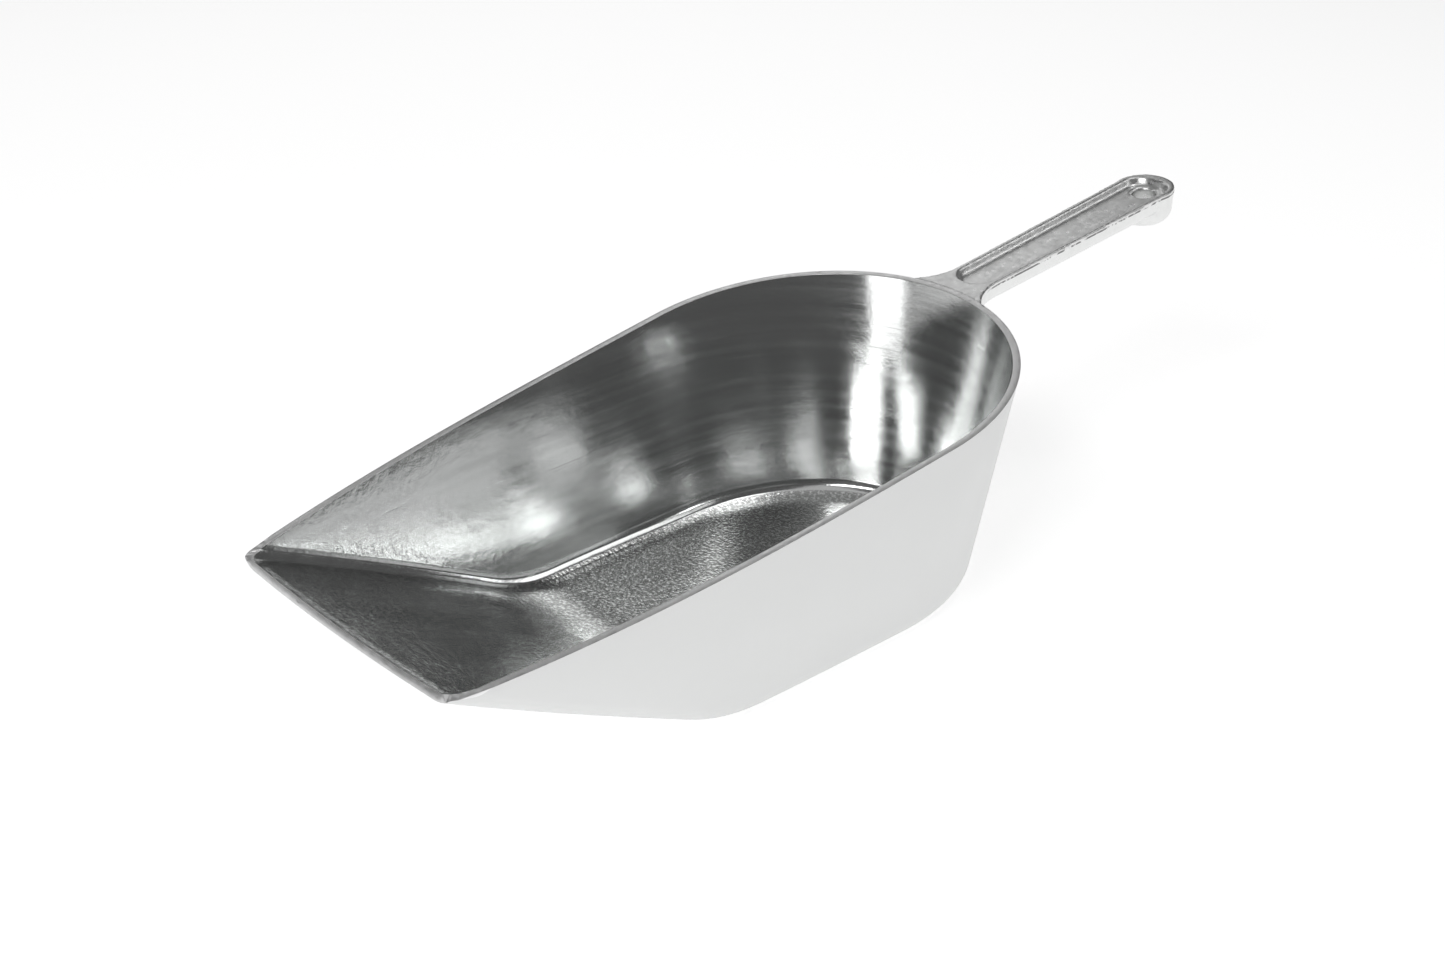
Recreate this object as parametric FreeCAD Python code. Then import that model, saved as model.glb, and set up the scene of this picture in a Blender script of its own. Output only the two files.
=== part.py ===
import FreeCAD, Part
import math
import os
from FreeCAD import Vector

# Cast aluminium ice scoop. Millimetres, +Z up, X across, mouth towards -Y, handle towards +Y.
# The origin is the centre of the flat face that the scoop rests on.

# ---- Driving dimensions of the bowl -------------------------------------------------------
BASE_LENGTH = 136.8          # flat resting face, from the start of the ramp to the back
BASE_HALF_WIDTH = 52.4       # half-width of the bowl at the height of the resting face
BACK_DEPTH = 62.3            # depth of the rounded back, from its widest section to the back
RAMP_LENGTH = 95.45          # level distance from the start of the ramp to the lip
RAMP_ANGLE = 27.2            # degrees that the ramp rises towards the lip
BEND_RADIUS = 58.0           # underside radius between the resting face and the ramp
NOSE_TAPER = 11.6            # how much each side closes in between the widest section and the lip
SIDE_DRAFT = 0.22            # outward lean of the side walls, run over rise
BACK_DRAFT = 0.112           # outward lean of the back wall, run over rise
RIM_BACK_HEIGHT = 82.5       # height of the rim at the back
RIM_SAG = 1.05               # how far the rim dips below the straight line from lip to back
LIP_BOW = 2.7                # how far the middle of the lip stands forward of its corners
LIP_CORNER_RADIUS = 4.0
WALL = 2.4                   # thickness of walls, floor and ramp
OUTER_FILLET = 8.7           # rounding between floor and walls, outside
INNER_FILLET = 5.5           # rounding between floor and walls, inside

# ---- Driving dimensions of the handle -----------------------------------------------------
HANDLE_RISE = 6.33           # degrees that the handle climbs away from the rim
EYE_DISTANCE = 102.5         # along the handle, from the back of the rim to the hanging hole
ROOT_HALF_WIDTH = 9.0        # half-width where the straight part of the handle begins
ROOT_LENGTH = 13.7           # length of the flared root, along the handle
FLARE_RADIUS = 21.0          # radius of the flare on each side of the root
EYE_RADIUS = 10.8            # round end of the handle
NECK_EASE = 0.35             # how far the round end stands proud of the bar on each side
HANDLE_DEPTH = 7.4           # thickness of the bar, from its top lands to its underside
HANDLE_DRAFT = 0.09          # inward lean of the handle's sides, run over rise
HANDLE_ROUNDING = 3.6        # rounding along the underside of the bar
EYE_DEPTH = 12.8             # thickness of the knob around the hanging hole
EYE_ROUNDING = 5.0           # rounding under the knob
ROOT_BLEND = 2.5             # fillet where the handle's sides and underside meet the bowl
CHANNEL_LAND = 1.7           # flat land left on each side of the channel in the top
CHANNEL_DEPTH = 2.4
CHANNEL_SLOPE = 1.5          # how far each side of the channel closes in towards its floor
CHANNEL_START = 7.0          # along the handle, from the rim to the round end of the channel
CHANNEL_PAST_EYE = 6.9       # how far the channel runs past the middle of the hole
CHANNEL_CORNER = 6.6         # corner radius at the far end of the channel
CHANNEL_FILLET = 1.0
HOLE_RADIUS = 4.2            # hanging hole
HOLE_MOUTH_RADIUS = 5.0      # hanging hole where it opens into the channel

# ---- Worked out from the dimensions above ---------------------------------------------------
BASE_BACK = BASE_LENGTH / 2
RAMP_START = -BASE_LENGTH / 2
WIDEST_Y = BASE_BACK - BACK_DEPTH
LIP_Y = RAMP_START - RAMP_LENGTH
SLOPE = math.radians(RAMP_ANGLE)
RAMP_UNDERSIDE_AT_LIP = RAMP_LENGTH * math.tan(SLOPE)
LIP_HEIGHT = RAMP_UNDERSIDE_AT_LIP + WALL / math.cos(SLOPE)
RIM_BACK_Y = BASE_BACK + BACK_DRAFT * RIM_BACK_HEIGHT
OVERRUN = 15.0               # extra length and height of the blanks before they are trimmed
BLANK_TOP = RIM_BACK_HEIGHT + OVERRUN
FRONT_Y = LIP_Y - OVERRUN
REACH = 2 * (BASE_HALF_WIDTH + BACK_DEPTH)
TOUCH = 0.01                 # how near a point must lie to count as being on a line


def bowl_outline(inset, z):
    """Closed plan outline of the bowl at height z: two bowed sides, a round back, a cut front."""
    half_width = BASE_HALF_WIDTH - inset + SIDE_DRAFT * z
    depth = BACK_DEPTH - inset + BACK_DRAFT * z
    length = WIDEST_Y - FRONT_Y
    taper = NOSE_TAPER * (length / (WIDEST_Y - LIP_Y)) ** 3
    right = [Vector(half_width, WIDEST_Y, z),
             Vector(half_width, WIDEST_Y - length / 3, z),
             Vector(half_width, WIDEST_Y - 2 * length / 3, z),
             Vector(half_width - taper, FRONT_Y, z)]
    left = [Vector(-point.x, point.y, point.z) for point in reversed(right)]
    sides = []
    for poles in (right, left):
        curve = Part.BezierCurve()
        curve.setPoles(poles)
        sides.append(curve.toShape())
    nose = Part.makeLine(right[-1], left[0])
    centre = Vector(0, WIDEST_Y, z)
    if depth >= half_width:
        ellipse = Part.Ellipse(Vector(0, WIDEST_Y + depth, z), Vector(half_width, WIDEST_Y, z), centre)
    else:
        ellipse = Part.Ellipse(Vector(half_width, WIDEST_Y, z), Vector(0, WIDEST_Y + depth, z), centre)
    start = ellipse.parameter(left[-1])
    end = ellipse.parameter(right[0])
    middle = Vector(0, WIDEST_Y + depth, z)
    back = ellipse.toShape(*sorted((start, end)))
    if back.distToShape(Part.Vertex(middle))[0] > TOUCH:
        back = ellipse.toShape(max(start, end), min(start, end) + 2 * math.pi)
    return Part.Wire(Part.__sortEdges__([sides[0], nose, sides[1], back]))


def floor_line(raise_by):
    """Side view of the floor from back to front: level, then the bend, then the ramp."""
    tangent = BEND_RADIUS * math.tan(SLOPE / 2)
    centre = Vector(0, RAMP_START + tangent, BEND_RADIUS)
    radius = BEND_RADIUS - raise_by

    def on_bend(angle):
        return centre + Vector(0, -radius * math.sin(angle), -radius * math.cos(angle))

    level_end = on_bend(0)
    ramp_start = on_bend(SLOPE)
    run = ramp_start.y - FRONT_Y + OVERRUN
    ramp_end = ramp_start + Vector(0, -run, run * math.tan(SLOPE))
    level = Part.makeLine(Vector(0, REACH, raise_by), level_end)
    bend = Part.Arc(level_end, on_bend(SLOPE / 2), ramp_start).toShape()
    ramp = Part.makeLine(ramp_start, ramp_end)
    return [level, bend, ramp]


def extrude_side_view(edges, corners):
    """Solid across the whole width, bounded by a side-view line and closed over the corners."""
    chain = Part.Wire(edges)
    ends = [chain.OrderedVertexes[0].Point, chain.OrderedVertexes[-1].Point]
    loop = Part.Wire(edges + Part.makePolygon([ends[1]] + corners + [ends[0]]).Edges)
    face = Part.Face(loop)
    face.translate(Vector(-REACH, 0, 0))
    return face.extrude(Vector(2 * REACH, 0, 0))


def bowl_blank(inset, raise_by, fillet):
    """Bowl-shaped solid block with its floor rounded into its walls, before the rim is cut."""
    low = raise_by - OVERRUN / 2
    walls = Part.makeLoft([bowl_outline(inset, low), bowl_outline(inset, BLANK_TOP)], True, True)
    line = floor_line(raise_by)
    top = BLANK_TOP + OVERRUN
    above = extrude_side_view(line, [Vector(0, line[-1].Vertexes[-1].Y, top), Vector(0, REACH, top)])
    block = walls.common(above).Solids[0]
    profile = Part.Wire(line)
    rounded = []
    for edge in block.Edges:
        points = edge.discretize(5)
        heights_match = all(
            profile.distToShape(Part.Vertex(0, point.y, point.z))[0] < TOUCH for point in points)
        runs_along = edge.BoundBox.YLength > 1.0
        if heights_match and runs_along:
            rounded.append(edge)
    return block.makeFillet(fillet, rounded)


def under_rim():
    """Everything below the plane of the rim, which dips a little between lip and back."""
    lip = Vector(0, LIP_Y, LIP_HEIGHT)
    back = Vector(0, RIM_BACK_Y, RIM_BACK_HEIGHT)
    chord = back - lip
    middle = (lip + back) * 0.5 - Vector(0, 0, RIM_SAG)
    rim = Part.Arc(lip, middle, back).toShape()
    climb = OVERRUN * chord.z / chord.y
    behind = Part.makeLine(back, back + Vector(0, OVERRUN, climb))
    before = Part.makeLine(lip + Vector(0, -2 * OVERRUN, 2 * OVERRUN * math.tan(SLOPE)), lip)
    far = RIM_BACK_Y + OVERRUN
    return extrude_side_view([before, rim, behind],
                             [Vector(0, far, -OVERRUN), Vector(0, LIP_Y - 2 * OVERRUN, -OVERRUN)])


def behind_lip():
    """Upright solid whose front is the bowed lip with rounded corners, seen from above."""
    edge_room = 0.3
    corner_x = BASE_HALF_WIDTH - NOSE_TAPER + SIDE_DRAFT * LIP_HEIGHT + edge_room
    corner = Vector(corner_x, LIP_Y, -OVERRUN)
    mirrored = Vector(-corner_x, LIP_Y, -OVERRUN)
    bow = Part.Arc(mirrored, Vector(0, LIP_Y - LIP_BOW, -OVERRUN), corner).toShape()
    flare = 2 * (WIDEST_Y - LIP_Y) / 3
    right = Part.makeLine(corner, corner + Vector(flare * 0.15, flare, 0))
    left = Part.makeLine(mirrored + Vector(-flare * 0.15, flare, 0), mirrored)
    back_right = Vector(REACH, RIM_BACK_Y + OVERRUN, -OVERRUN)
    back_left = Vector(-REACH, RIM_BACK_Y + OVERRUN, -OVERRUN)
    sides = Part.makePolygon([right.Vertexes[-1].Point, back_right, back_left,
                              left.Vertexes[0].Point]).Edges
    plan = Part.Face(Part.Wire(Part.__sortEdges__([bow, right, left] + sides)))
    block = plan.extrude(Vector(0, 0, 2 * BLANK_TOP))
    corners = []
    for edge in block.Edges:
        upright = edge.BoundBox.ZLength > BLANK_TOP
        at_lip = abs(edge.Vertexes[0].Y - LIP_Y) < TOUCH
        if upright and at_lip:
            corners.append(edge)
    return block.makeFillet(LIP_CORNER_RADIUS, corners)


def make_bowl(outer_block):
    """Thin-walled bowl: the outer block, hollowed, then cut to the rim and the lip."""
    cavity = bowl_blank(WALL / math.cos(math.atan(SIDE_DRAFT)), WALL, INNER_FILLET)
    shell = outer_block.cut(cavity)
    return shell.common(under_rim()).common(behind_lip()).Solids[0]


def along_handle(x, distance, depth=0.0):
    """A point in the handle's own frame: across, along from the rim, and below the top lands."""
    return Vector(x, distance, -depth)


def bar_outline(depth):
    """Closed plan outline of the bar at one depth, from inside the bowl wall to the eye."""
    lean = HANDLE_DRAFT * depth
    half_root = ROOT_HALF_WIDTH - lean
    half_eye = EYE_RADIUS - NECK_EASE - lean
    flare_angle = math.radians(68.0)

    def flare(angle, side):
        out = half_root + FLARE_RADIUS * (1 - math.cos(angle))
        return along_handle(side * out, ROOT_LENGTH - FLARE_RADIUS * math.sin(angle), depth)

    edges = []
    for side in (1, -1):
        edges.append(Part.Arc(flare(flare_angle, side), flare(flare_angle / 2, side),
                              flare(0, side)).toShape())
        edges.append(Part.makeLine(flare(0, side), along_handle(side * half_eye, EYE_DISTANCE, depth)))
    edges.append(Part.makeLine(along_handle(half_eye, EYE_DISTANCE, depth),
                               along_handle(-half_eye, EYE_DISTANCE, depth)))
    edges.append(Part.makeLine(flare(flare_angle, 1), flare(flare_angle, -1)))
    return Part.Wire(Part.__sortEdges__(edges))


def make_bar():
    """Tapered bar with a flared root and a rounded underside."""
    bar = Part.makeLoft([bar_outline(HANDLE_DEPTH), bar_outline(0)], True, True)
    rounded = []
    for edge in bar.Edges:
        low = abs(edge.BoundBox.ZMax + HANDLE_DEPTH) < TOUCH
        runs_along = edge.BoundBox.YLength > 1.0
        if low and runs_along:
            rounded.append(edge)
    return bar.makeFillet(HANDLE_ROUNDING, rounded)


def make_knob():
    """Round, thicker end of the handle that carries the hanging hole."""
    low_radius = EYE_RADIUS - HANDLE_DRAFT * EYE_DEPTH
    knob = Part.makeCone(low_radius, EYE_RADIUS, EYE_DEPTH, along_handle(0, EYE_DISTANCE, EYE_DEPTH))
    bottom = [edge for edge in knob.Edges if abs(edge.BoundBox.ZMax + EYE_DEPTH) < TOUCH]
    return knob.makeFillet(EYE_ROUNDING, bottom)


def channel_outline(depth):
    """Closed plan outline of the channel: round at the root and round the hole."""
    close_in = CHANNEL_SLOPE * depth / CHANNEL_DEPTH
    taper = (EYE_RADIUS - NECK_EASE - ROOT_HALF_WIDTH) / (EYE_DISTANCE - ROOT_LENGTH)
    half_start = ROOT_HALF_WIDTH - CHANNEL_LAND - close_in
    end = EYE_DISTANCE + CHANNEL_PAST_EYE - close_in
    corner = CHANNEL_CORNER - close_in / 2
    start = CHANNEL_START + close_in
    shoulder = start + half_start
    half_end = half_start + taper * (end - corner - shoulder)
    bulge = corner * (1 - math.sqrt(0.5))

    def point(x, distance):
        return along_handle(x, distance, depth)

    edges = [Part.Arc(point(-half_start, shoulder), point(0, start), point(half_start, shoulder)).toShape()]
    for side in (1, -1):
        side_end = point(side * half_end, end - corner)
        corner_end = point(side * (half_end - corner), end)
        corner_middle = point(side * (half_end - bulge), end - bulge)
        edges.append(Part.makeLine(point(side * half_start, shoulder), side_end))
        edges.append(Part.Arc(side_end, corner_middle, corner_end).toShape())
    edges.append(Part.makeLine(point(half_end - corner, end), point(corner - half_end, end)))
    return Part.Wire(Part.__sortEdges__(edges))


def make_channel():
    """Shallow open-topped channel that lightens the top of the handle."""
    above = CHANNEL_DEPTH / 2
    channel = Part.makeLoft([channel_outline(CHANNEL_DEPTH), channel_outline(-above)], True, True)
    floor_edges = [edge for edge in channel.Edges if abs(edge.BoundBox.ZMax + CHANNEL_DEPTH) < TOUCH]
    return channel.makeFillet(CHANNEL_FILLET, floor_edges)


def make_hole():
    """Hanging hole with a wider mouth where it opens into the channel."""
    axis_top = along_handle(0, EYE_DISTANCE, -1.0)
    down = Vector(0, 0, -1)
    step = HOLE_MOUTH_RADIUS - HOLE_RADIUS
    through = Part.makeCylinder(HOLE_RADIUS, EYE_DEPTH + 2.0, axis_top, down)
    mouth = Part.makeCylinder(HOLE_MOUTH_RADIUS, CHANNEL_DEPTH + 1.0, axis_top, down)
    easing = Part.makeCone(HOLE_MOUTH_RADIUS, HOLE_RADIUS, step,
                           along_handle(0, EYE_DISTANCE, CHANNEL_DEPTH), down)
    lower = Part.makeCone(HOLE_RADIUS, HOLE_MOUTH_RADIUS, step,
                          along_handle(0, EYE_DISTANCE, EYE_DEPTH - step), down)
    return through.fuse([mouth, easing, lower])


def set_in_place(shape):
    """Turns a shape from the handle's own frame to its climb angle at the back of the rim."""
    shape.rotate(Vector(0, 0, 0), Vector(1, 0, 0), HANDLE_RISE)
    shape.translate(Vector(0, RIM_BACK_Y, RIM_BACK_HEIGHT))
    return shape


def make_handle(outer_block):
    """Handle, set at its climb angle and ended exactly on the outside of the bowl's back wall."""
    bar = set_in_place(make_bar())
    joined = outer_block.fuse(bar)
    seam = []
    for edge in joined.Edges:
        points = edge.discretize(7)
        on_wall = all(outer_block.Shells[0].distToShape(Part.Vertex(point))[0] < TOUCH for point in points)
        on_bar = all(bar.Shells[0].distToShape(Part.Vertex(point))[0] < TOUCH for point in points)
        top = RIM_BACK_HEIGHT + (points[3].y - RIM_BACK_Y) * math.tan(math.radians(HANDLE_RISE))
        if on_wall and on_bar and points[3].z < top - 0.1:
            seam.append(edge)
    blended = joined.makeFillet(ROOT_BLEND, seam)
    handle = blended.cut(outer_block).Solids[0].fuse(set_in_place(make_knob())).removeSplitter()
    return handle.cut(set_in_place(make_channel())).cut(set_in_place(make_hole())).Solids[0]


os.makedirs("parts", exist_ok=True)
outer = bowl_blank(0, 0, OUTER_FILLET)
pieces = {"bowl": make_bowl(outer), "handle": make_handle(outer)}
for name, solid in pieces.items():
    solid.exportStep("parts/" + name + ".step")
    box = solid.BoundBox
    print(name, solid.isValid(), round(solid.Volume, 1), [round(value, 2) for value in (
        box.XMin, box.XMax, box.YMin, box.YMax, box.ZMin, box.ZMax)])
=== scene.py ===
import math

import bmesh
import bpy
from mathutils import Matrix, Vector, noise


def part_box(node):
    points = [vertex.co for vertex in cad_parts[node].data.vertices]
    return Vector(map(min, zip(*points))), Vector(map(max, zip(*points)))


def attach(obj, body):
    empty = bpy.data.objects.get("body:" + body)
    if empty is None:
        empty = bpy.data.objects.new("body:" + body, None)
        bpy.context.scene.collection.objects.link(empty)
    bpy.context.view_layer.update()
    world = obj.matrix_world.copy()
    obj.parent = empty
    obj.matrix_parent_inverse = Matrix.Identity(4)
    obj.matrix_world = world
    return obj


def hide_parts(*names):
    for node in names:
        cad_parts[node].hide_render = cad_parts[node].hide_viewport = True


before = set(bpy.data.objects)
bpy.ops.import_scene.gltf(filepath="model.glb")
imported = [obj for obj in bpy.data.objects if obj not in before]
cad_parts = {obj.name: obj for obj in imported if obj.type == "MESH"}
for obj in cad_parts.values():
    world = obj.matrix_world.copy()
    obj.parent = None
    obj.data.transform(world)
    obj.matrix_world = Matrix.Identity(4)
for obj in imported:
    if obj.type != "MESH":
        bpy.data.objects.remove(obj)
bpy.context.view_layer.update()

# ---- Bowl --------------------------------------------------------------------------------------
# The bowl is one aluminium casting with an even wall: a level floor, a round back, two bowed sides
# that lean outwards, and a ramp that rises to a wide, thin lip. Its inside skin is drawn first,
# from one half-section, and is then thickened outwards, cut along the rim and mirrored.
MM = 0.001
WALL = 2.4 * MM
SIDE_DRAFT = 0.22
BACK_DRAFT = 0.112
BASE_HALF_WIDTH = 52.4 * MM - WALL / math.cos(math.atan(SIDE_DRAFT))
BASE_BACK_DEPTH = 62.3 * MM - WALL / math.cos(math.atan(SIDE_DRAFT))
WIDEST_Y = 6.1 * MM
BEND_BACK_Y = -54.37 * MM
BEND_RADIUS = 55.6 * MM
RAMP_ANGLE = math.radians(27.2)
NOSE_TAPER = 11.6 * MM
LIP_BOW = 2.7 * MM
LIP_CORNER = 3.0 * MM
FLOOR_FILLET = 5.5 * MM
RIM_SAG = 1.05 * MM
RIM_EASE = 0.5 * MM
BLANK_TOP = 100.0 * MM
FILLET_FACETS = 4
FACET_EASE = 0.45 * MM
BACK_STEPS = 48
SIDE_STEPS = 46
CORNER_CUTS = 5
FLOOR_CUTS = 10
EASE_SEGMENTS = 3
EASED_ANGLE = math.radians(45)
CREASE_ANGLE = math.radians(50)
LIP_UPSTAND = 0.3 * MM
NEAR = 0.01 * MM

bowl_low, bowl_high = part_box("bowl")
LIP_Y = bowl_low[1] + LIP_BOW + WALL * math.sin(RAMP_ANGLE)


def floor_height(y):
    """Height of the inside of the floor: level, then the bend, then the straight ramp."""
    ahead = BEND_BACK_Y - y
    bend_length = BEND_RADIUS * math.sin(RAMP_ANGLE)
    if ahead <= 0:
        return WALL
    if ahead < bend_length:
        return WALL + BEND_RADIUS - math.sqrt(BEND_RADIUS ** 2 - ahead ** 2)
    bend_rise = BEND_RADIUS * (1 - math.cos(RAMP_ANGLE))
    return WALL + bend_rise + (ahead - bend_length) * math.tan(RAMP_ANGLE)


def half_width(y, z):
    """Half the inside width of the bowl at one place and height."""
    taper = NOSE_TAPER * ((WIDEST_Y - y) / (WIDEST_Y - LIP_Y)) ** 3
    return BASE_HALF_WIDTH - taper + SIDE_DRAFT * z


def pick(rule):
    """Selects, in edit mode, the vertices whose place fits the rule, and nothing else."""
    bpy.ops.mesh.select_mode(type="VERT")
    bpy.ops.mesh.select_all(action="DESELECT")
    mesh = bmesh.from_edit_mesh(bpy.context.object.data)
    for vertex in mesh.verts:
        vertex.select_set(bool(rule(vertex.co)))
    mesh.select_flush(True)
    bmesh.update_edit_mesh(bpy.context.object.data)


def apply_modifier(name, kind, **settings):
    """Adds a modifier to the active object with these settings, and applies it."""
    modifier = bpy.context.object.modifiers.new(name, kind)
    for setting, value in settings.items():
        setattr(modifier, setting, value)
    bpy.ops.object.modifier_apply(modifier=name)


bpy.ops.object.select_all(action="DESELECT")
bpy.ops.mesh.primitive_plane_add(size=WALL, location=(0, 0, 0))
bowl = bpy.context.object
bowl.name = "cast_bowl"
bpy.ops.object.mode_set(mode="EDIT")
bpy.ops.mesh.merge(type="CENTER")
bpy.ops.transform.translate(value=(0, WIDEST_Y, WALL))
floor_edge_x = half_width(WIDEST_Y, WALL)
bpy.ops.mesh.extrude_vertices_move(TRANSFORM_OT_translate={"value": (floor_edge_x, 0, 0)})
wall_run = half_width(WIDEST_Y, BLANK_TOP) - floor_edge_x
bpy.ops.mesh.extrude_vertices_move(
    TRANSFORM_OT_translate={"value": (wall_run, 0, BLANK_TOP - WALL)})
pick(lambda place: abs(place.x - floor_edge_x) < NEAR)
half_turn = (math.pi / 2 - math.atan(SIDE_DRAFT)) / 2
bpy.ops.mesh.bevel(offset=FLOOR_FILLET * math.tan(half_turn), segments=FILLET_FACETS,
                   affect="VERTICES")
bpy.ops.mesh.bevel(offset=FACET_EASE, segments=EASE_SEGMENTS, affect="VERTICES")
pick(lambda place: abs(place.z - WALL) < NEAR)
bpy.ops.mesh.subdivide(number_cuts=FLOOR_CUTS)


def low(place):
    """True on the floor and its fillet, and false at the top of the blank wall."""
    return place.z < BLANK_TOP - NEAR


stations = [WIDEST_Y + (LIP_Y - WIDEST_Y) * step / SIDE_STEPS for step in range(SIDE_STEPS + 1)]
for before, station in zip(stations, stations[1:]):
    pick(lambda place: abs(place.y - before) < NEAR / 2)
    bpy.ops.mesh.extrude_region_move(
        TRANSFORM_OT_translate={"value": (0, station - before, 0)})
    for rule, z_before, z_now in (
            (low, floor_height(before), floor_height(station)),
            (lambda place: not low(place), BLANK_TOP, BLANK_TOP)):
        pick(lambda place: abs(place.y - station) < NEAR / 2 and rule(place))
        narrower = half_width(station, z_now) / half_width(before, z_before)
        bpy.ops.transform.resize(value=(narrower, 1, 1), center_override=(0, station, 0))
        bpy.ops.transform.translate(value=(0, 0, z_now - z_before))

pick(lambda place: abs(place.y - WIDEST_Y) < NEAR)
bpy.ops.mesh.spin(steps=BACK_STEPS, angle=-math.pi / 2, center=(0, WIDEST_Y, 0), axis=(0, 0, 1))
for rule, height in ((low, 0.0), (lambda place: not low(place), BLANK_TOP)):
    pick(lambda place: place.y > WIDEST_Y + NEAR and rule(place))
    deeper = (BASE_BACK_DEPTH + BACK_DRAFT * height) / half_width(WIDEST_Y, height)
    bpy.ops.transform.resize(value=(1, deeper, 1), center_override=(0, WIDEST_Y, 0))
bpy.ops.mesh.select_all(action="SELECT")
bpy.ops.mesh.remove_doubles(threshold=NEAR / 2)
bpy.ops.object.mode_set(mode="OBJECT")
apply_modifier("other half", "MIRROR", use_axis=(True, False, False), use_clip=True,
               merge_threshold=NEAR)

bpy.ops.object.mode_set(mode="EDIT")
bpy.ops.mesh.select_all(action="SELECT")
bpy.ops.mesh.normals_make_consistent(inside=False)
skin = bmesh.from_edit_mesh(bowl.data)
if sum(face.normal.z * face.calc_area() for face in skin.faces) < 0:
    bpy.ops.mesh.flip_normals()
bpy.ops.object.mode_set(mode="OBJECT")

for slot_name in ("polished_inside", "satin_outside", "ground_rim"):
    bowl.data.materials.append(bpy.data.materials.new(slot_name))
OUTSIDE = 1
RIM = 2
apply_modifier("wall", "SOLIDIFY", thickness=WALL, offset=-1, use_even_offset=True, use_rim=False,
               material_offset=OUTSIDE)

rim_front = Vector((0, LIP_Y, floor_height(LIP_Y) + LIP_UPSTAND))
rim_back = Vector((0, bowl_high[1], bowl_high[2]))
rim_line = rim_back - rim_front
bpy.ops.object.mode_set(mode="EDIT")
bpy.ops.mesh.select_all(action="SELECT")
bpy.ops.mesh.bisect(plane_co=rim_front, plane_no=(0, -rim_line.z, rim_line.y), clear_outer=True)
bpy.ops.mesh.select_mode(type="EDGE")
bpy.ops.mesh.select_all(action="DESELECT")
bpy.ops.mesh.select_non_manifold(extend=False, use_wire=False, use_boundary=True,
                                 use_multi_face=False, use_non_contiguous=False, use_verts=False)
shell = bmesh.from_edit_mesh(bowl.data)
for vertex in shell.verts:
    if vertex.select:
        along = (vertex.co.y - rim_front.y) / rim_line.y
        drop = RIM_SAG * max(4 * along * (1 - along), 0.0)
        vertex.co.z -= drop
        vertex.co.x *= 1 - SIDE_DRAFT * drop / BASE_HALF_WIDTH
bmesh.update_edit_mesh(bowl.data)
bpy.ops.mesh.bridge_edge_loops(type="SINGLE")
bowl.active_material_index = RIM
bpy.ops.object.material_slot_assign()
pick(lambda place: abs(place.x) < NEAR and place.y < LIP_Y + NEAR)
bpy.ops.transform.translate(
    value=(0, -LIP_BOW, LIP_BOW * math.tan(RAMP_ANGLE)), use_proportional_edit=True,
    proportional_edit_falloff="INVERSE_SQUARE",
    proportional_size=half_width(LIP_Y, floor_height(LIP_Y)))
lip_reach = half_width(LIP_Y, floor_height(LIP_Y)) + WALL
for side in (1, -1):
    for cut in range(1, CORNER_CUTS + 1):
        turn = math.pi / 2 * cut / (CORNER_CUTS + 1)
        facing = Vector((side * math.cos(turn), -math.sin(turn), 0))
        centre = Vector((side * (lip_reach - LIP_CORNER), bowl_low[1] + LIP_BOW + LIP_CORNER, 0))
        bpy.ops.mesh.select_all(action="SELECT")
        bpy.ops.mesh.bisect(plane_co=centre + facing * LIP_CORNER, plane_no=facing,
                            use_fill=True, clear_outer=True)
bpy.ops.object.mode_set(mode="OBJECT")
apply_modifier("eased edges", "BEVEL", width=RIM_EASE, segments=EASE_SEGMENTS,
               limit_method="ANGLE", angle_limit=EASED_ANGLE, use_clamp_overlap=True)
bpy.ops.object.shade_smooth_by_angle(angle=CREASE_ANGLE)


def add_node(tree, kind, values=(), **settings):
    """Adds a shader node with these settings, and sets or links its inputs."""
    node = tree.nodes.new(kind)
    for setting, value in settings.items():
        setattr(node, setting, value)
    for socket, value in dict(values).items():
        if isinstance(value, bpy.types.NodeSocket):
            tree.links.new(value, node.inputs[socket])
        else:
            node.inputs[socket].default_value = value
    return node


def calc(tree, operation, *terms):
    """Output of a math node on these terms."""
    return add_node(tree, "ShaderNodeMath", enumerate(terms), operation=operation).outputs[0]


def remap(tree, value, low_from, high_from, low_to=0.0, high_to=1.0):
    """Maps a value from one range to another, and holds it there."""
    return add_node(tree, "ShaderNodeMapRange",
                    {"Value": value, "From Min": low_from, "From Max": high_from,
                     "To Min": low_to, "To Max": high_to}).outputs["Result"]


def new_group(name, inputs, outputs):
    """An empty shader group with these named inputs and outputs, and its two end nodes."""
    group = bpy.data.node_groups.new(name, "ShaderNodeTree")
    for socket in inputs:
        kind = "NodeSocketVector" if socket == "Place" else "NodeSocketFloat"
        group.interface.new_socket(socket, in_out="INPUT", socket_type=kind)
    for socket in outputs:
        group.interface.new_socket(socket, in_out="OUTPUT", socket_type="NodeSocketFloat")
    entry = group.nodes.new("NodeGroupInput").outputs
    return group, entry, group.nodes.new("NodeGroupOutput").inputs


def use_group(tree, group, values):
    """Places a shader group in a material with its own values, and gives its outputs."""
    node = tree.nodes.new("ShaderNodeGroup")
    node.node_tree = group
    for socket, value in values.items():
        if isinstance(value, bpy.types.NodeSocket):
            tree.links.new(value, node.inputs[socket])
        else:
            node.inputs[socket].default_value = value
    return node.outputs


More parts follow.
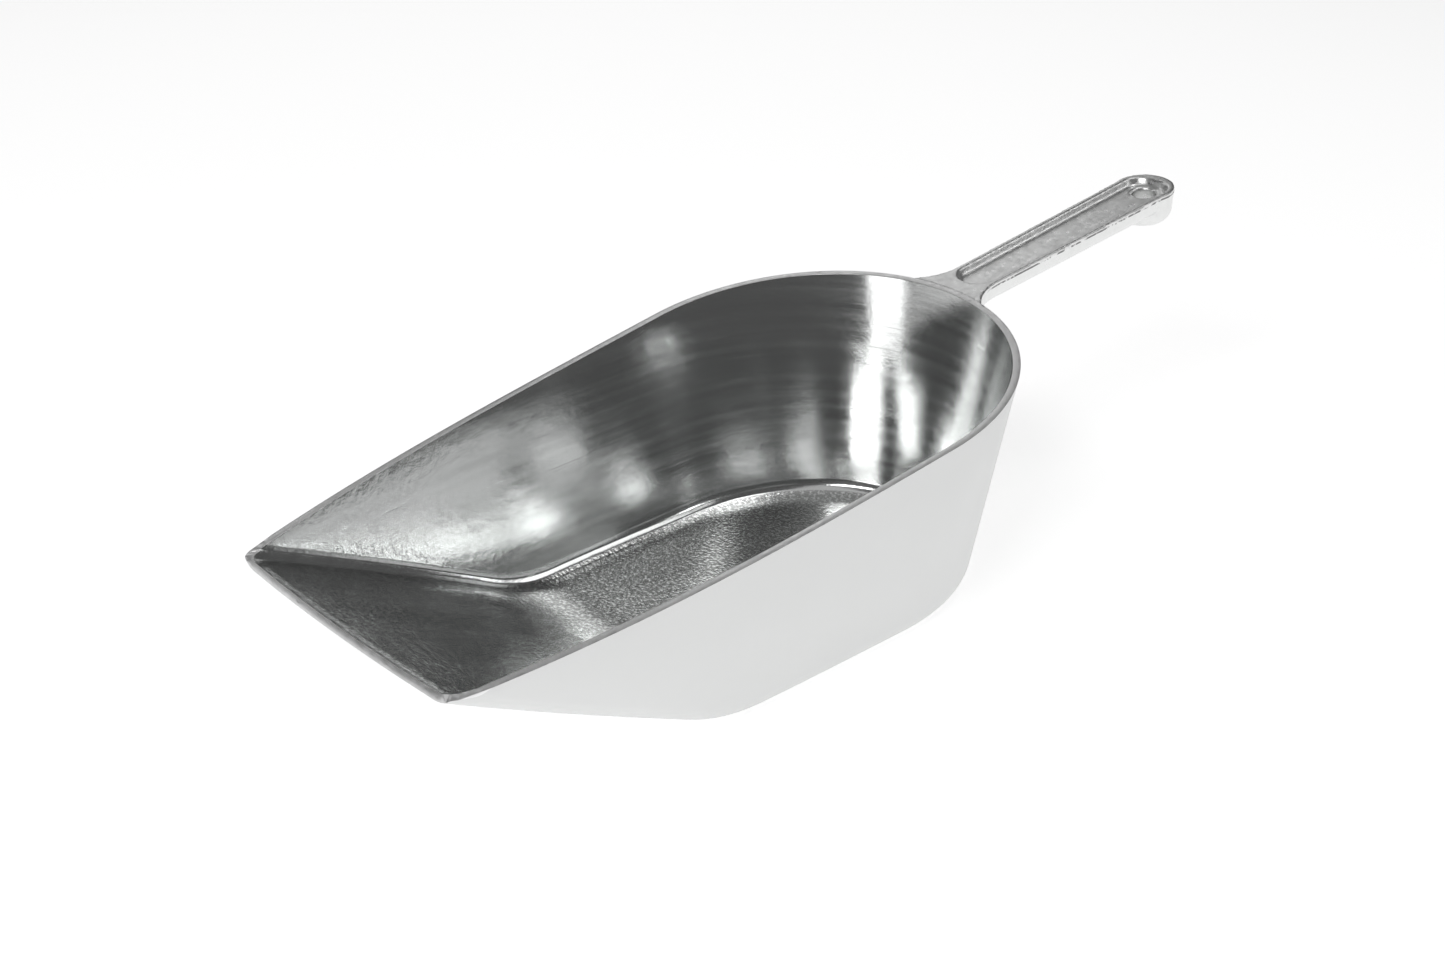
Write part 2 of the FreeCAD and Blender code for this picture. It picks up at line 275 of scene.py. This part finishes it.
# Cast skin: soft lumps of one size, and sparse round pits between them.
cast_skin, skin_in, skin_out = new_group("cast_skin", ("Place", "Size"), ("Lumps", "Pits"))
skin_place = add_node(cast_skin, "ShaderNodeVectorMath", {0: skin_in["Place"]}, operation="SCALE")
cast_skin.links.new(calc(cast_skin, "DIVIDE", 1.0, skin_in["Size"]), skin_place.inputs["Scale"])
lumps = add_node(cast_skin, "ShaderNodeTexNoise",
                 {"Vector": skin_place.outputs[0], "Scale": 1.0, "Detail": 3.0, "Roughness": 0.55})
pits = add_node(cast_skin, "ShaderNodeTexVoronoi", {"Vector": skin_place.outputs[0], "Scale": 0.35})
cast_skin.links.new(lumps.outputs["Fac"], skin_out["Lumps"])
round_pits = remap(cast_skin, pits.outputs["Distance"], 0.08, 0.2, 1.0, 0.0)
cast_skin.links.new(round_pits, skin_out["Pits"])

# Buffing marks: fine lines that run along the first coordinate, the wide streaks they gather
# into, and a few deeper scratches.
buffing, buff_in, buff_out = new_group("buffing_marks", ("Place", "Length", "Spacing"),
                                       ("Lines", "Streaks", "Scratches"))
buff_place = add_node(buffing, "ShaderNodeSeparateXYZ", {0: buff_in["Place"]}).outputs
stretched = add_node(buffing, "ShaderNodeCombineXYZ",
                     {0: calc(buffing, "DIVIDE", buff_place[0], buff_in["Length"]),
                      1: calc(buffing, "DIVIDE", buff_place[1], buff_in["Spacing"])}).outputs[0]
for socket, scale, detail, low_from, high_from in (
        ("Lines", 1.0, 4.0, 0.0, 1.0), ("Streaks", 0.09, 2.0, 0.3, 0.7),
        ("Scratches", 0.45, 1.0, 0.71, 0.76)):
    cloud = add_node(buffing, "ShaderNodeTexNoise",
                     {"Vector": stretched, "Scale": scale, "Detail": detail, "Roughness": 0.65})
    buffing.links.new(remap(buffing, cloud.outputs["Fac"], low_from, high_from), buff_out[socket])


TONE_SIZE = 18 * MM
DARKEST_TONE = 0.92
CLOUD_SPREAD = (0.3, 0.7)


def start_metal(name, color):
    """A bare metal with a faint drift of tone: its tree, its shader, and the object's places."""
    material = bpy.data.materials[name]
    material.use_nodes = True
    tree = material.node_tree
    shader = tree.nodes["Principled BSDF"]
    shader.inputs["Metallic"].default_value = 1
    place = add_node(tree, "ShaderNodeTexCoord").outputs
    tone = use_group(tree, cast_skin, {"Place": place["Object"], "Size": TONE_SIZE})["Lumps"]
    shade = add_node(tree, "ShaderNodeMix", {"Factor": tone}, data_type="RGBA")
    shade.inputs[6].default_value = (*[DARKEST_TONE * part for part in color], 1)
    shade.inputs[7].default_value = (*color, 1)
    tree.links.new(shade.outputs[2], shader.inputs["Base Color"])
    return tree, shader, place


def add_bumps(tree, shader, *layers):
    """Lays bumps of these heights and real depths over one another, on to the shader."""
    below = None
    for height, depth in layers:
        bump = add_node(tree, "ShaderNodeBump", {"Height": height, "Distance": depth})
        if below:
            tree.links.new(below, bump.inputs["Normal"])
        below = bump.outputs["Normal"]
    tree.links.new(below, shader.inputs["Normal"])


# The inside is buffed: round and round on the walls, and up and down on the floor and the ramp.
# The floor keeps a dull, flecked cast skin, which is fainter on the ramp. Towards the lip, the
# walls and the ramp keep a soft peel as well.
INSIDE_METAL = (0.75, 0.76, 0.755)
DULL_FLECK = (0.44, 0.445, 0.44, 1)
FLOOR_FACING = (0.8, 0.87)
FRONT_START = -60 * MM
FRONT_END = -125 * MM
WAVE_SIZE = 30 * MM
INSIDE_WAVE_DEPTH = 0.25 * MM
PEEL_SIZE = 2.6 * MM
PEEL_DEPTH = 0.1 * MM
PEEL_AT_BACK = 0.15
FLECK_SIZE = 1.15 * MM
FLECK_DEPTH = 0.12 * MM
FLECK_TRACE = 0.015 * MM
FLECK_EDGE = (0.48, 0.6)
FLECK_FADE = 0.4
FLECKS_AT_FRONT = 0.3
WALL_LINE_LENGTH = 16 * MM
WALL_LINE_SPACING = 0.32 * MM
WALL_LINE_DEPTH = 0.006 * MM
SCRATCH_DEPTH = 0.01 * MM
FLOOR_LINE_LENGTH = 30 * MM
FLOOR_LINE_SPACING = 0.6 * MM
FLOOR_LINE_DEPTH = 0.003 * MM
BUFFED_WALL = (0.12, 0.2)
BUFFED_FLOOR = (0.12, 0.18)

tree, shader, place = start_metal("polished_inside", INSIDE_METAL)
xyz = add_node(tree, "ShaderNodeSeparateXYZ", {0: place["Object"]}).outputs
facing = add_node(tree, "ShaderNodeSeparateXYZ", {0: place["Normal"]}).outputs
from_middle = calc(tree, "SUBTRACT", xyz[1], WIDEST_Y)
behind = calc(tree, "MAXIMUM", from_middle, 0.0)
ahead = calc(tree, "MINIMUM", from_middle, 0.0)
around = calc(tree, "MULTIPLY", calc(tree, "ARCTAN2", xyz[0], behind), BASE_HALF_WIDTH)
along = calc(tree, "SUBTRACT", around, calc(tree, "MULTIPLY", calc(tree, "SIGN", xyz[0]), ahead))
wall_place = add_node(tree, "ShaderNodeCombineXYZ", {0: along, 1: xyz[2]}).outputs[0]
floor_place = add_node(tree, "ShaderNodeCombineXYZ", {0: xyz[1], 1: xyz[0]}).outputs[0]
on_floor = remap(tree, facing[2], *FLOOR_FACING)
on_wall = calc(tree, "SUBTRACT", 1.0, on_floor)
at_front = remap(tree, xyz[1], FRONT_START, FRONT_END)
wall_marks = use_group(tree, buffing, {"Place": wall_place, "Length": WALL_LINE_LENGTH,
                                       "Spacing": WALL_LINE_SPACING})
floor_marks = use_group(tree, buffing, {"Place": floor_place, "Length": FLOOR_LINE_LENGTH,
                                        "Spacing": FLOOR_LINE_SPACING})
flecks = use_group(tree, cast_skin, {"Place": place["Object"], "Size": FLECK_SIZE})
flecks_left = remap(tree, at_front, 0.0, FLECK_FADE, 1.0, FLECKS_AT_FRONT)
flecked = calc(tree, "MULTIPLY", on_floor, flecks_left)
peel = use_group(tree, cast_skin, {"Place": place["Object"], "Size": PEEL_SIZE})
peeled = remap(tree, at_front, 0.0, 1.0, PEEL_AT_BACK, 1.0)
waves = use_group(tree, cast_skin, {"Place": place["Object"], "Size": WAVE_SIZE})
add_bumps(tree, shader,
          (waves["Lumps"], INSIDE_WAVE_DEPTH),
          (calc(tree, "MULTIPLY", peel["Lumps"], peeled), PEEL_DEPTH),
          (flecks["Lumps"], FLECK_TRACE),
          (calc(tree, "MULTIPLY", wall_marks["Lines"], on_wall), WALL_LINE_DEPTH),
          (calc(tree, "MULTIPLY", wall_marks["Scratches"], on_wall), -SCRATCH_DEPTH),
          (calc(tree, "MULTIPLY", floor_marks["Lines"], on_floor), FLOOR_LINE_DEPTH),
          (calc(tree, "MULTIPLY", flecks["Lumps"], flecked), FLECK_DEPTH))
wall_rough = remap(tree, wall_marks["Streaks"], 0.0, 1.0, *BUFFED_WALL)
floor_rough = remap(tree, floor_marks["Streaks"], 0.0, 1.0, *BUFFED_FLOOR)
roughness = add_node(tree, "ShaderNodeMix", {0: on_floor, 2: wall_rough, 3: floor_rough})
tree.links.new(roughness.outputs[0], shader.inputs["Roughness"])
fleck_mask = remap(tree, flecks["Lumps"], *FLECK_EDGE, 1.0, 0.1)
dull = add_node(tree, "ShaderNodeMix", {"Factor": calc(tree, "MULTIPLY", on_floor, fleck_mask)},
                data_type="RGBA")
tree.links.new(shader.inputs["Base Color"].links[0].from_socket, dull.inputs[6])
dull.inputs[7].default_value = DULL_FLECK
tree.links.new(dull.outputs[2], shader.inputs["Base Color"])

# The outside is smooth and satin, with a fine tumbled grain.
OUTSIDE_METAL = (0.71, 0.715, 0.712)
OUTSIDE_WAVE_DEPTH = 0.3 * MM
SATIN_GRAIN_SIZE = 0.8 * MM
SATIN_GRAIN_DEPTH = 0.02 * MM
SATIN_PIT_DEPTH = 0.01 * MM
SATIN = (0.34, 0.44)

tree, shader, place = start_metal("satin_outside", OUTSIDE_METAL)
grain = use_group(tree, cast_skin, {"Place": place["Object"], "Size": SATIN_GRAIN_SIZE})
waves = use_group(tree, cast_skin, {"Place": place["Object"], "Size": WAVE_SIZE})
add_bumps(tree, shader,
          (waves["Lumps"], OUTSIDE_WAVE_DEPTH),
          (grain["Lumps"], SATIN_GRAIN_DEPTH),
          (grain["Pits"], -SATIN_PIT_DEPTH))
tone = use_group(tree, cast_skin, {"Place": place["Object"], "Size": TONE_SIZE})["Lumps"]
tree.links.new(remap(tree, tone, *CLOUD_SPREAD, *SATIN), shader.inputs["Roughness"])

# The rim is ground flat and then knocked about, so it is full of small dents.
RIM_METAL = (0.85, 0.85, 0.85)
DENT_SIZE = 2.2 * MM
DENT_DEPTH = 0.07 * MM
NICK_DEPTH = 0.1 * MM
RIM_GRAIN_SIZE = 0.5 * MM
RIM_GRAIN_DEPTH = 0.02 * MM
GROUND = (0.28, 0.45)

tree, shader, place = start_metal("ground_rim", RIM_METAL)
dents = use_group(tree, cast_skin, {"Place": place["Object"], "Size": DENT_SIZE})
grain = use_group(tree, cast_skin, {"Place": place["Object"], "Size": RIM_GRAIN_SIZE})
add_bumps(tree, shader,
          (dents["Lumps"], DENT_DEPTH),
          (dents["Pits"], -NICK_DEPTH),
          (grain["Lumps"], RIM_GRAIN_DEPTH))
tree.links.new(remap(tree, dents["Lumps"], *CLOUD_SPREAD, *GROUND), shader.inputs["Roughness"])

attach(bowl, "root")
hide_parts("bowl")

# ---- Handle ------------------------------------------------------------------------------------
# The handle is cast with the bowl: a tapered bar with a channel in its top and a thick pierced
# knob at its end. Tumbling has softened every edge, and a trimmed line of flash is left along
# its sides, just under the top. Its root runs a little way into the wall, so that no gap shows.
ROOT_INTO_WALL = Vector((0, -1.2 * MM, -0.5 * MM))
ROOT_REACH = 3 * MM
HANDLE_VOXEL = 0.33 * MM
HANDLE_RISE = math.radians(6.33)
HANDLE_START = Vector((0, 77.64 * MM, 82.5 * MM))
EYE_DISTANCE = 102.5 * MM
FLASH_START = 16 * MM
FLASH_DEPTH = (0.95 * MM, 1.7 * MM)
FLASH_PROUD = 0.12 * MM
FLASH_BREAK = 3.5 * MM
FLASH_GAPS = -0.12
FLASH_SIDE = 0.75
FLASH_WANDER = 0.25 * MM
FLASH_WANDER_LENGTH = 6 * MM

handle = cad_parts["handle"].copy()
handle.data = handle.data.copy()
handle.name = "cast_handle"
bpy.context.collection.objects.link(handle)
bpy.ops.object.select_all(action="DESELECT")
handle.select_set(True)
bpy.context.view_layer.objects.active = handle
bpy.ops.object.mode_set(mode="EDIT")
bpy.ops.mesh.select_all(action="SELECT")
bpy.ops.mesh.remove_doubles(threshold=NEAR / 10)
bpy.ops.object.mode_set(mode="OBJECT")
apply_modifier("fine mesh", "REMESH", mode="VOXEL", voxel_size=HANDLE_VOXEL)
apply_modifier("tumbled", "SMOOTH", factor=0.5, iterations=8)


def touches_bowl(place):
    """True on the root's end, where it meets the outside of the bowl's wall."""
    if place.y > HANDLE_START.y + ROOT_REACH:
        return False
    nearest = bowl.closest_point_on_mesh(place)[1]
    return (nearest - place).length < HANDLE_VOXEL


def on_flash(vertex):
    """True for a vertex of the broken line of flash on the sides of the handle."""
    flat = Matrix.Rotation(-HANDLE_RISE, 3, "X")
    place = flat @ (vertex.co - HANDLE_START)
    facing = flat @ vertex.normal
    outwards = Vector((place.x, max(place.y - EYE_DISTANCE, 0), 0)).normalized()
    if place.y < FLASH_START or facing.dot(outwards) < FLASH_SIDE:
        return False
    wander = FLASH_WANDER * noise.noise(place / FLASH_WANDER_LENGTH)
    whole = noise.noise(place / FLASH_BREAK + outwards) > FLASH_GAPS
    return whole and FLASH_DEPTH[0] < wander - place.z < FLASH_DEPTH[1]


bpy.ops.object.mode_set(mode="EDIT")
pick(touches_bowl)
bpy.ops.transform.translate(value=ROOT_INTO_WALL)
bpy.ops.mesh.select_all(action="DESELECT")
casting = bmesh.from_edit_mesh(handle.data)
for vertex in casting.verts:
    vertex.select_set(on_flash(vertex))
bmesh.update_edit_mesh(handle.data)
bpy.ops.transform.shrink_fatten(value=FLASH_PROUD)
bpy.ops.object.mode_set(mode="OBJECT")
bpy.ops.object.shade_smooth()
handle.data.materials.clear()
handle.data.materials.append(bpy.data.materials.new("tumbled_handle"))

# The cast skin is left as it came, under a dull tumbled shine. Along the line of flash on the
# outward sides, a broken dark band of painted shade is laid into the colour: the dark that the
# flash's ledge catches.
HANDLE_METAL = (0.83, 0.835, 0.83)
# Colour of the painted shade along the flash line, not a colour of the metal.
SEAM_PAINTED_SHADE = (0.2, 0.2, 0.2, 1)
HANDLE_WAVE_SIZE = 9 * MM
HANDLE_WAVE_DEPTH = 0.18 * MM
DIMPLE_SIZE = 2.4 * MM
DIMPLE_DEPTH = 0.07 * MM
PINHOLE_DEPTH = 0.015 * MM
HANDLE_GRAIN_SIZE = 0.7 * MM
HANDLE_GRAIN_DEPTH = 0.03 * MM
TUMBLED = (0.26, 0.4)
# Width, facing, gaps and start of the band of painted shade along the flash line.
SEAM_SHADE_EDGE = (0.25 * MM, 0.45 * MM)
SEAM_SHADE_FACING = (0.6, 0.75)
SEAM_SHADE_GAP_EDGE = (0.42, 0.5)
SEAM_SHADE_START = HANDLE_START.y + 7 * MM
SEAM_SHADE_FULL = HANDLE_START.y + 12 * MM

tree, shader, place = start_metal("tumbled_handle", HANDLE_METAL)
grain = use_group(tree, cast_skin, {"Place": place["Object"], "Size": HANDLE_GRAIN_SIZE})
dimples = use_group(tree, cast_skin, {"Place": place["Object"], "Size": DIMPLE_SIZE})
waves = use_group(tree, cast_skin, {"Place": place["Object"], "Size": HANDLE_WAVE_SIZE})
add_bumps(tree, shader,
          (waves["Lumps"], HANDLE_WAVE_DEPTH),
          (dimples["Lumps"], DIMPLE_DEPTH),
          (grain["Lumps"], HANDLE_GRAIN_DEPTH),
          (dimples["Pits"], -PINHOLE_DEPTH))
tree.links.new(remap(tree, dimples["Lumps"], *CLOUD_SPREAD, *TUMBLED), shader.inputs["Roughness"])
xyz = add_node(tree, "ShaderNodeSeparateXYZ", {0: place["Object"]}).outputs
facing = add_node(tree, "ShaderNodeSeparateXYZ", {0: place["Normal"]}).outputs
from_root = calc(tree, "SUBTRACT", xyz[1], HANDLE_START.y)
risen = calc(tree, "MULTIPLY", from_root, math.sin(HANDLE_RISE))
under_start = calc(tree, "SUBTRACT", HANDLE_START.z, xyz[2])
dropped = calc(tree, "MULTIPLY", under_start, math.cos(HANDLE_RISE))
below_top = calc(tree, "ADD", risen, dropped)
# Painted shade: a broken dark band along the flash line on the outward sides, mixed into the base
# colour.
from_shade_line = calc(tree, "ABSOLUTE", calc(tree, "SUBTRACT", below_top, sum(FLASH_DEPTH) / 2))
in_shade_line = remap(tree, from_shade_line, *SEAM_SHADE_EDGE, 1.0, 0.0)
outwards = calc(tree, "MULTIPLY", calc(tree, "SIGN", xyz[0]), facing[0])
on_side = remap(tree, outwards, *SEAM_SHADE_FACING)
breaks = use_group(tree, cast_skin, {"Place": place["Object"], "Size": FLASH_BREAK})["Lumps"]
past_root = remap(tree, xyz[1], SEAM_SHADE_START, SEAM_SHADE_FULL)
seam_shade = calc(tree, "MULTIPLY", calc(tree, "MULTIPLY", in_shade_line, on_side), past_root)
painted_seam_shade = calc(tree, "MULTIPLY", seam_shade, remap(tree, breaks, *SEAM_SHADE_GAP_EDGE))
# Mixes the painted shade into the handle's colour.
seam_shade_mix = add_node(tree, "ShaderNodeMix", {"Factor": painted_seam_shade}, data_type="RGBA")
tree.links.new(shader.inputs["Base Color"].links[0].from_socket, seam_shade_mix.inputs[6])
seam_shade_mix.inputs[7].default_value = SEAM_PAINTED_SHADE
tree.links.new(seam_shade_mix.outputs[2], shader.inputs["Base Color"])

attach(handle, "root")
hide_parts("handle")

# ---- Stage -------------------------------------------------------------------------------------
# A pale floor that glows a little, as a lit sweep does, and soft boxes round the scoop. The big
# bright box in front gives the white streak in the rounded back of the bowl.
FLOOR_SIZE = 60
FLOOR_DROP = 0.1 * MM
FLOOR_PALE = 0.95
FLOOR_MATT = 0.9
FLOOR_GLOW = 0.59
ROOM_GLOW = 0.09
BOX_DISTANCE = 1.3
CAMERA_PLACE = Vector((0.4277, -0.4065, 0.3468))
CAMERA_AIM = Vector((-0.6604, 0.5901, -0.4644))
CAMERA_ROLL = math.radians(-0.29)
CAMERA_LENS = 51.68
CAMERA_SENSOR = 36

bpy.ops.object.select_all(action="DESELECT")
bpy.ops.mesh.primitive_plane_add(size=FLOOR_SIZE, location=(0, 0, -FLOOR_DROP))
floor = bpy.context.object
floor.name = "pale_floor"
floor_material = bpy.data.materials.new("pale_floor")
floor_material.use_nodes = True
floor_shader = floor_material.node_tree.nodes["Principled BSDF"].inputs
floor_shader["Base Color"].default_value = (FLOOR_PALE, FLOOR_PALE, FLOOR_PALE, 1)
floor_shader["Roughness"].default_value = FLOOR_MATT
floor_shader["Emission Color"].default_value = (1, 1, 1, 1)
floor_shader["Emission Strength"].default_value = FLOOR_GLOW
floor.data.materials.append(floor_material)

world = bpy.data.worlds.new("studio")
world.use_nodes = True
world.node_tree.nodes["Background"].inputs["Color"].default_value = (1, 1, 1, 1)
world.node_tree.nodes["Background"].inputs["Strength"].default_value = ROOM_GLOW
bpy.context.scene.world = world


def softbox(name, azimuth, elevation, size, brightness):
    """A soft box in this direction from the scoop, facing it, of even surface brightness."""
    light = bpy.data.lights.new(name, "AREA")
    light.shape = "RECTANGLE"
    light.size, light.size_y = size
    light.energy = brightness * math.pi * size[0] * size[1]
    lamp = bpy.data.objects.new(name, light)
    turn = math.radians(azimuth)
    climb = math.radians(elevation)
    towards = Vector((math.cos(climb) * math.cos(turn), math.cos(climb) * math.sin(turn),
                      math.sin(climb)))
    lamp.location = BOX_DISTANCE * towards
    lamp.rotation_euler = (-towards).to_track_quat("-Z", "Y").to_euler()
    bpy.context.collection.objects.link(lamp)


softbox("overhead", azimuth=0, elevation=88, size=(1.2, 1.2), brightness=0.4)
softbox("front_window", azimuth=-70, elevation=46, size=(0.56, 0.39), brightness=6.0)
softbox("front_low", azimuth=-92, elevation=8, size=(0.50, 0.26), brightness=1.9)
softbox("rear_top", azimuth=62, elevation=66, size=(0.60, 0.30), brightness=2.2)
softbox("rear_low", azimuth=52, elevation=37, size=(0.60, 0.30), brightness=1.6)
softbox("left_side", azimuth=-177, elevation=35, size=(0.66, 0.30), brightness=1.05)
softbox("left_low", azimuth=-140, elevation=23, size=(0.46, 0.20), brightness=1.2)
softbox("rear_left", azimuth=137, elevation=31, size=(0.50, 0.42), brightness=0.85)
softbox("rear_left_high", azimuth=153, elevation=41, size=(0.30, 0.18), brightness=0.9)

camera_data = bpy.data.cameras.new("camera")
camera_data.lens = CAMERA_LENS
camera_data.sensor_width = CAMERA_SENSOR
camera = bpy.data.objects.new("camera", camera_data)
bpy.context.collection.objects.link(camera)
camera.matrix_world = (Matrix.Translation(CAMERA_PLACE)
                       @ CAMERA_AIM.to_track_quat("-Z", "Y").to_matrix().to_4x4()
                       @ Matrix.Rotation(CAMERA_ROLL, 4, "Z"))
bpy.context.scene.camera = camera
bpy.context.scene.view_settings.view_transform = "Standard"
